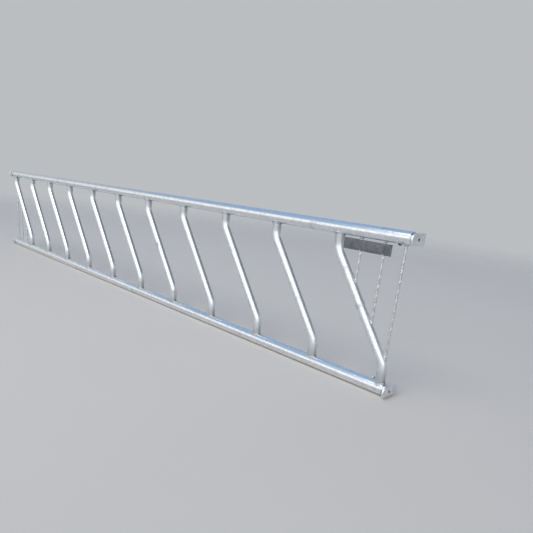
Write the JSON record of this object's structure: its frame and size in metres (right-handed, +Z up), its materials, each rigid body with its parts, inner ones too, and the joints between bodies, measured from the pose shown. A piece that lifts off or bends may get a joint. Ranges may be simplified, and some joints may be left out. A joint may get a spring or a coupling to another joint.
{
  "type": "cattle feed barrier",
  "caption": "Long low galvanised tube panel: bent slanting bars between rails for cattle to feed through, rods at the ends, and sliding end plates locked by screws.",
  "frame": {"origin": "under the middle of the panel, level with the underside of the bottom rail", "axes": "+X along the rails towards the end with the name plate, -Y towards the viewer, +Z up"},
  "size_m": [4.492, 0.11, 0.7383],
  "materials": {
    "tube": "bright hot-dip galvanised",
    "rod": "hot-dip galvanised, a little uneven",
    "plate": "dull hot-dip galvanised",
    "name_plate": "dull grey, pebbled",
    "weld": "galvanised over rough weld",
    "fastener": "galvanised"
  },
  "bodies": {
    "panel": {"top_rail": "tube", "bottom_rail": "tube", "slant_bar_01": "tube", "slant_bar_02": "tube", "slant_bar_03": "tube", "slant_bar_04": "tube", "slant_bar_05": "tube", "slant_bar_06": "tube", "slant_bar_07": "tube", "slant_bar_08": "tube", "slant_bar_09": "tube", "slant_bar_10": "tube", "slant_bar_11": "tube", "left_rod_1": "rod", "left_rod_2": "rod", "left_rod_3": "rod", "right_rod_1": "rod", "right_rod_2": "rod", "right_rod_3": "rod", "lock_nuts": "fastener", "name_plate": "name_plate", "bar_head_welds": "weld", "bar_foot_welds": "weld", "rod_welds": "weld", "lock_nut_welds": "weld", "name_plate_welds": "weld"},
    "fitting_top_left": {"stub_top_left": "tube", "end_plate_top_left": "plate", "stub_weld_top_left": "weld"},
    "lock_top_left": {"lock_screw_top_left": "fastener"},
    "fitting_top_right": {"stub_top_right": "tube", "end_plate_top_right": "plate", "stub_weld_top_right": "weld"},
    "lock_top_right": {"lock_screw_top_right": "fastener"},
    "fitting_bottom_left": {"stub_bottom_left": "tube", "end_plate_bottom_left": "plate", "stub_weld_bottom_left": "weld"},
    "lock_bottom_left": {"lock_screw_bottom_left": "fastener"},
    "fitting_bottom_right": {"stub_bottom_right": "tube", "end_plate_bottom_right": "plate", "stub_weld_bottom_right": "weld"},
    "lock_bottom_right": {"lock_screw_bottom_right": "fastener"}
  },
  "joints": [
    {"name": "slide_top_left", "type": "slide", "parent": "panel", "child": "fitting_top_left", "axis": [-1, 0, 0], "range_m": [-0.012, 0.1]},
    {"name": "turn_top_left", "type": "hinge", "parent": "panel", "child": "lock_top_left", "pos_m": [-2.14025, 0, 0.70815], "axis": [0, -0.7071, -0.7071], "range_deg": [-60, 1080]},
    {"name": "slide_top_right", "type": "slide", "parent": "panel", "child": "fitting_top_right", "axis": [1, 0, 0], "range_m": [-0.012, 0.1]},
    {"name": "turn_top_right", "type": "hinge", "parent": "panel", "child": "lock_top_right", "pos_m": [2.17891, 0, 0.70815], "axis": [0, -0.7071, -0.7071], "range_deg": [-60, 1080]},
    {"name": "slide_bottom_left", "type": "slide", "parent": "panel", "child": "fitting_bottom_left", "axis": [-1, 0, 0], "range_m": [-0.012, 0.1]},
    {"name": "turn_bottom_left", "type": "hinge", "parent": "panel", "child": "lock_bottom_left", "pos_m": [-2.17891, 0, 0.03015], "axis": [0, 0.7071, 0.7071], "range_deg": [-60, 1080]},
    {"name": "slide_bottom_right", "type": "slide", "parent": "panel", "child": "fitting_bottom_right", "axis": [1, 0, 0], "range_m": [-0.012, 0.1]},
    {"name": "turn_bottom_right", "type": "hinge", "parent": "panel", "child": "lock_bottom_right", "pos_m": [2.14025, 0, 0.03015], "axis": [0, 0.7071, 0.7071], "range_deg": [-60, 1080]}
  ]
}
